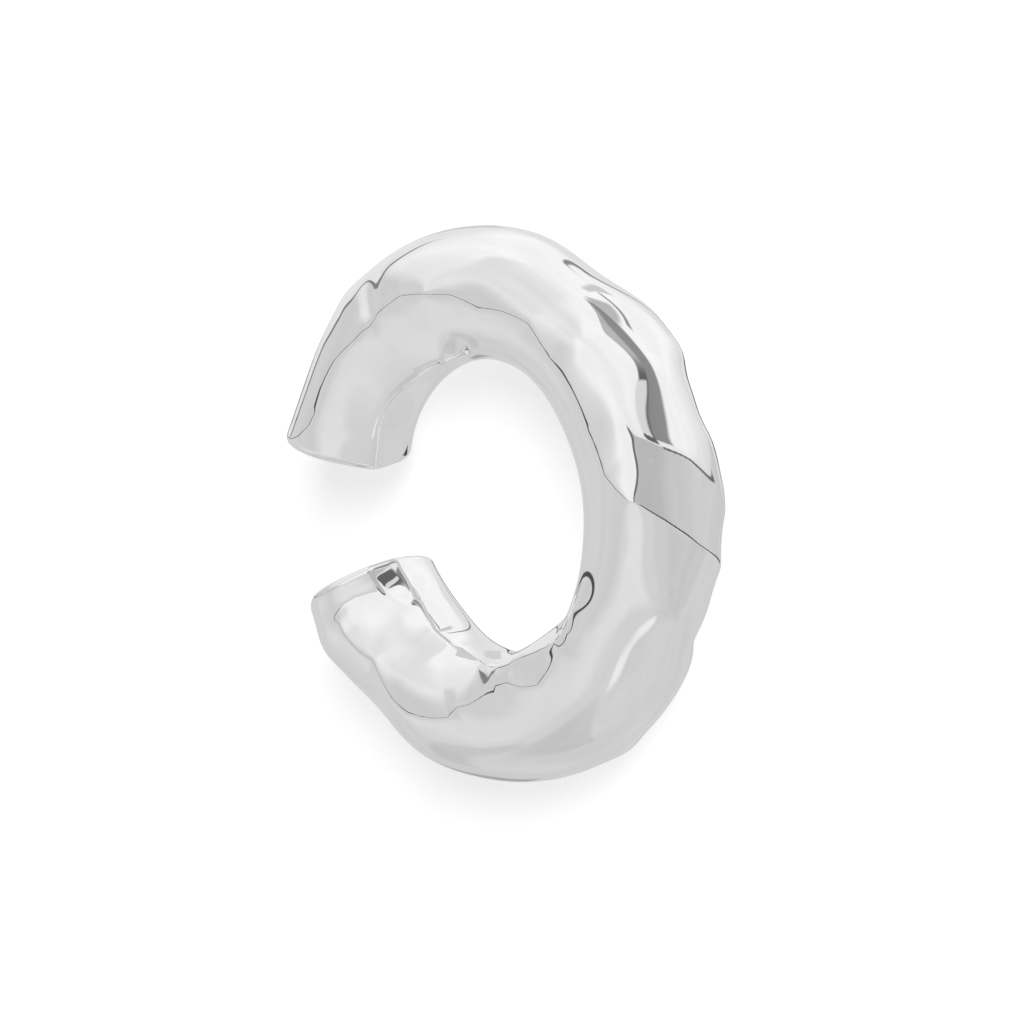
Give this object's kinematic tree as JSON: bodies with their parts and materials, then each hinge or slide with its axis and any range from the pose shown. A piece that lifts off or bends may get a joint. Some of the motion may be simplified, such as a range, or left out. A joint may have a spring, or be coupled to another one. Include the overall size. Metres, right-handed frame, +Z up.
{
  "type": "ear cuff",
  "caption": "Chunky one-piece polished silver ear cuff: an uneven C-shaped band that slips over the ear's edge through its open side.",
  "frame": {"origin": "centre of the bounding box's base, where the cuff lies on its back", "axes": "+Z up from the back to the front face, +Y along the cuff's height as worn, +X away from the open side"},
  "size_m": [0.016, 0.016, 0.0041],
  "materials": {
    "silver": "polished"
  },
  "bodies": {
    "root": {"cuff_band": "silver"}
  },
  "joints": []
}
